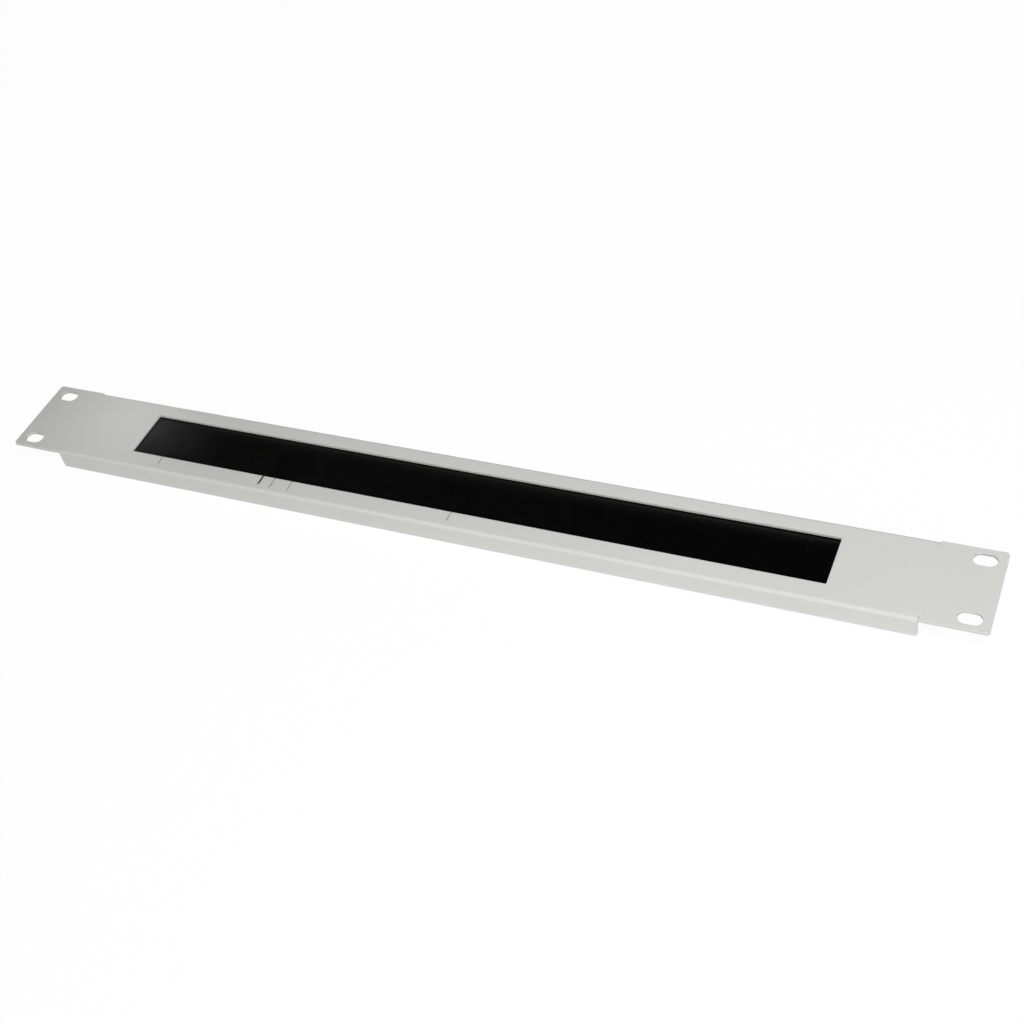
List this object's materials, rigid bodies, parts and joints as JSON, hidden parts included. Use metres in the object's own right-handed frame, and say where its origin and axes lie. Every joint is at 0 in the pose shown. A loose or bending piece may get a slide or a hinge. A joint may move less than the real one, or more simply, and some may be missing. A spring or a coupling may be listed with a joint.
{
  "type": "rack brush panel",
  "caption": "Low rack panel of folded sheet steel with slotted ears and a long opening that a row of soft bristles closes, so that cables pass through it while dust stays out.",
  "frame": {"origin": "centre of the panel's length and height, on the surface that the flanges' free edges stand on", "axes": "+X along the panel's length, +Y towards the long edge that the bristles are rooted behind, +Z out of the front face"},
  "size_m": [0.4826, 0.044, 0.0105],
  "materials": {
    "grey_powder_coat": "light grey powder coat, satin, very fine texture",
    "black_filament": "black nylon filaments with a soft sheen",
    "black_plastic": "black extruded plastic, matt",
    "galvanised_steel": "galvanised strip, satin",
    "coppered_steel": "thin copper flash over threaded steel",
    "zinc_plated_steel": "bright zinc plate"
  },
  "bodies": {
    "root": {"panel": "grey_powder_coat", "bristles": "black_filament", "brush_backing": "black_plastic", "clamp_bar": "galvanised_steel", "weld_studs": "coppered_steel", "washers": "zinc_plated_steel", "nuts": "zinc_plated_steel"}
  },
  "joints": []
}
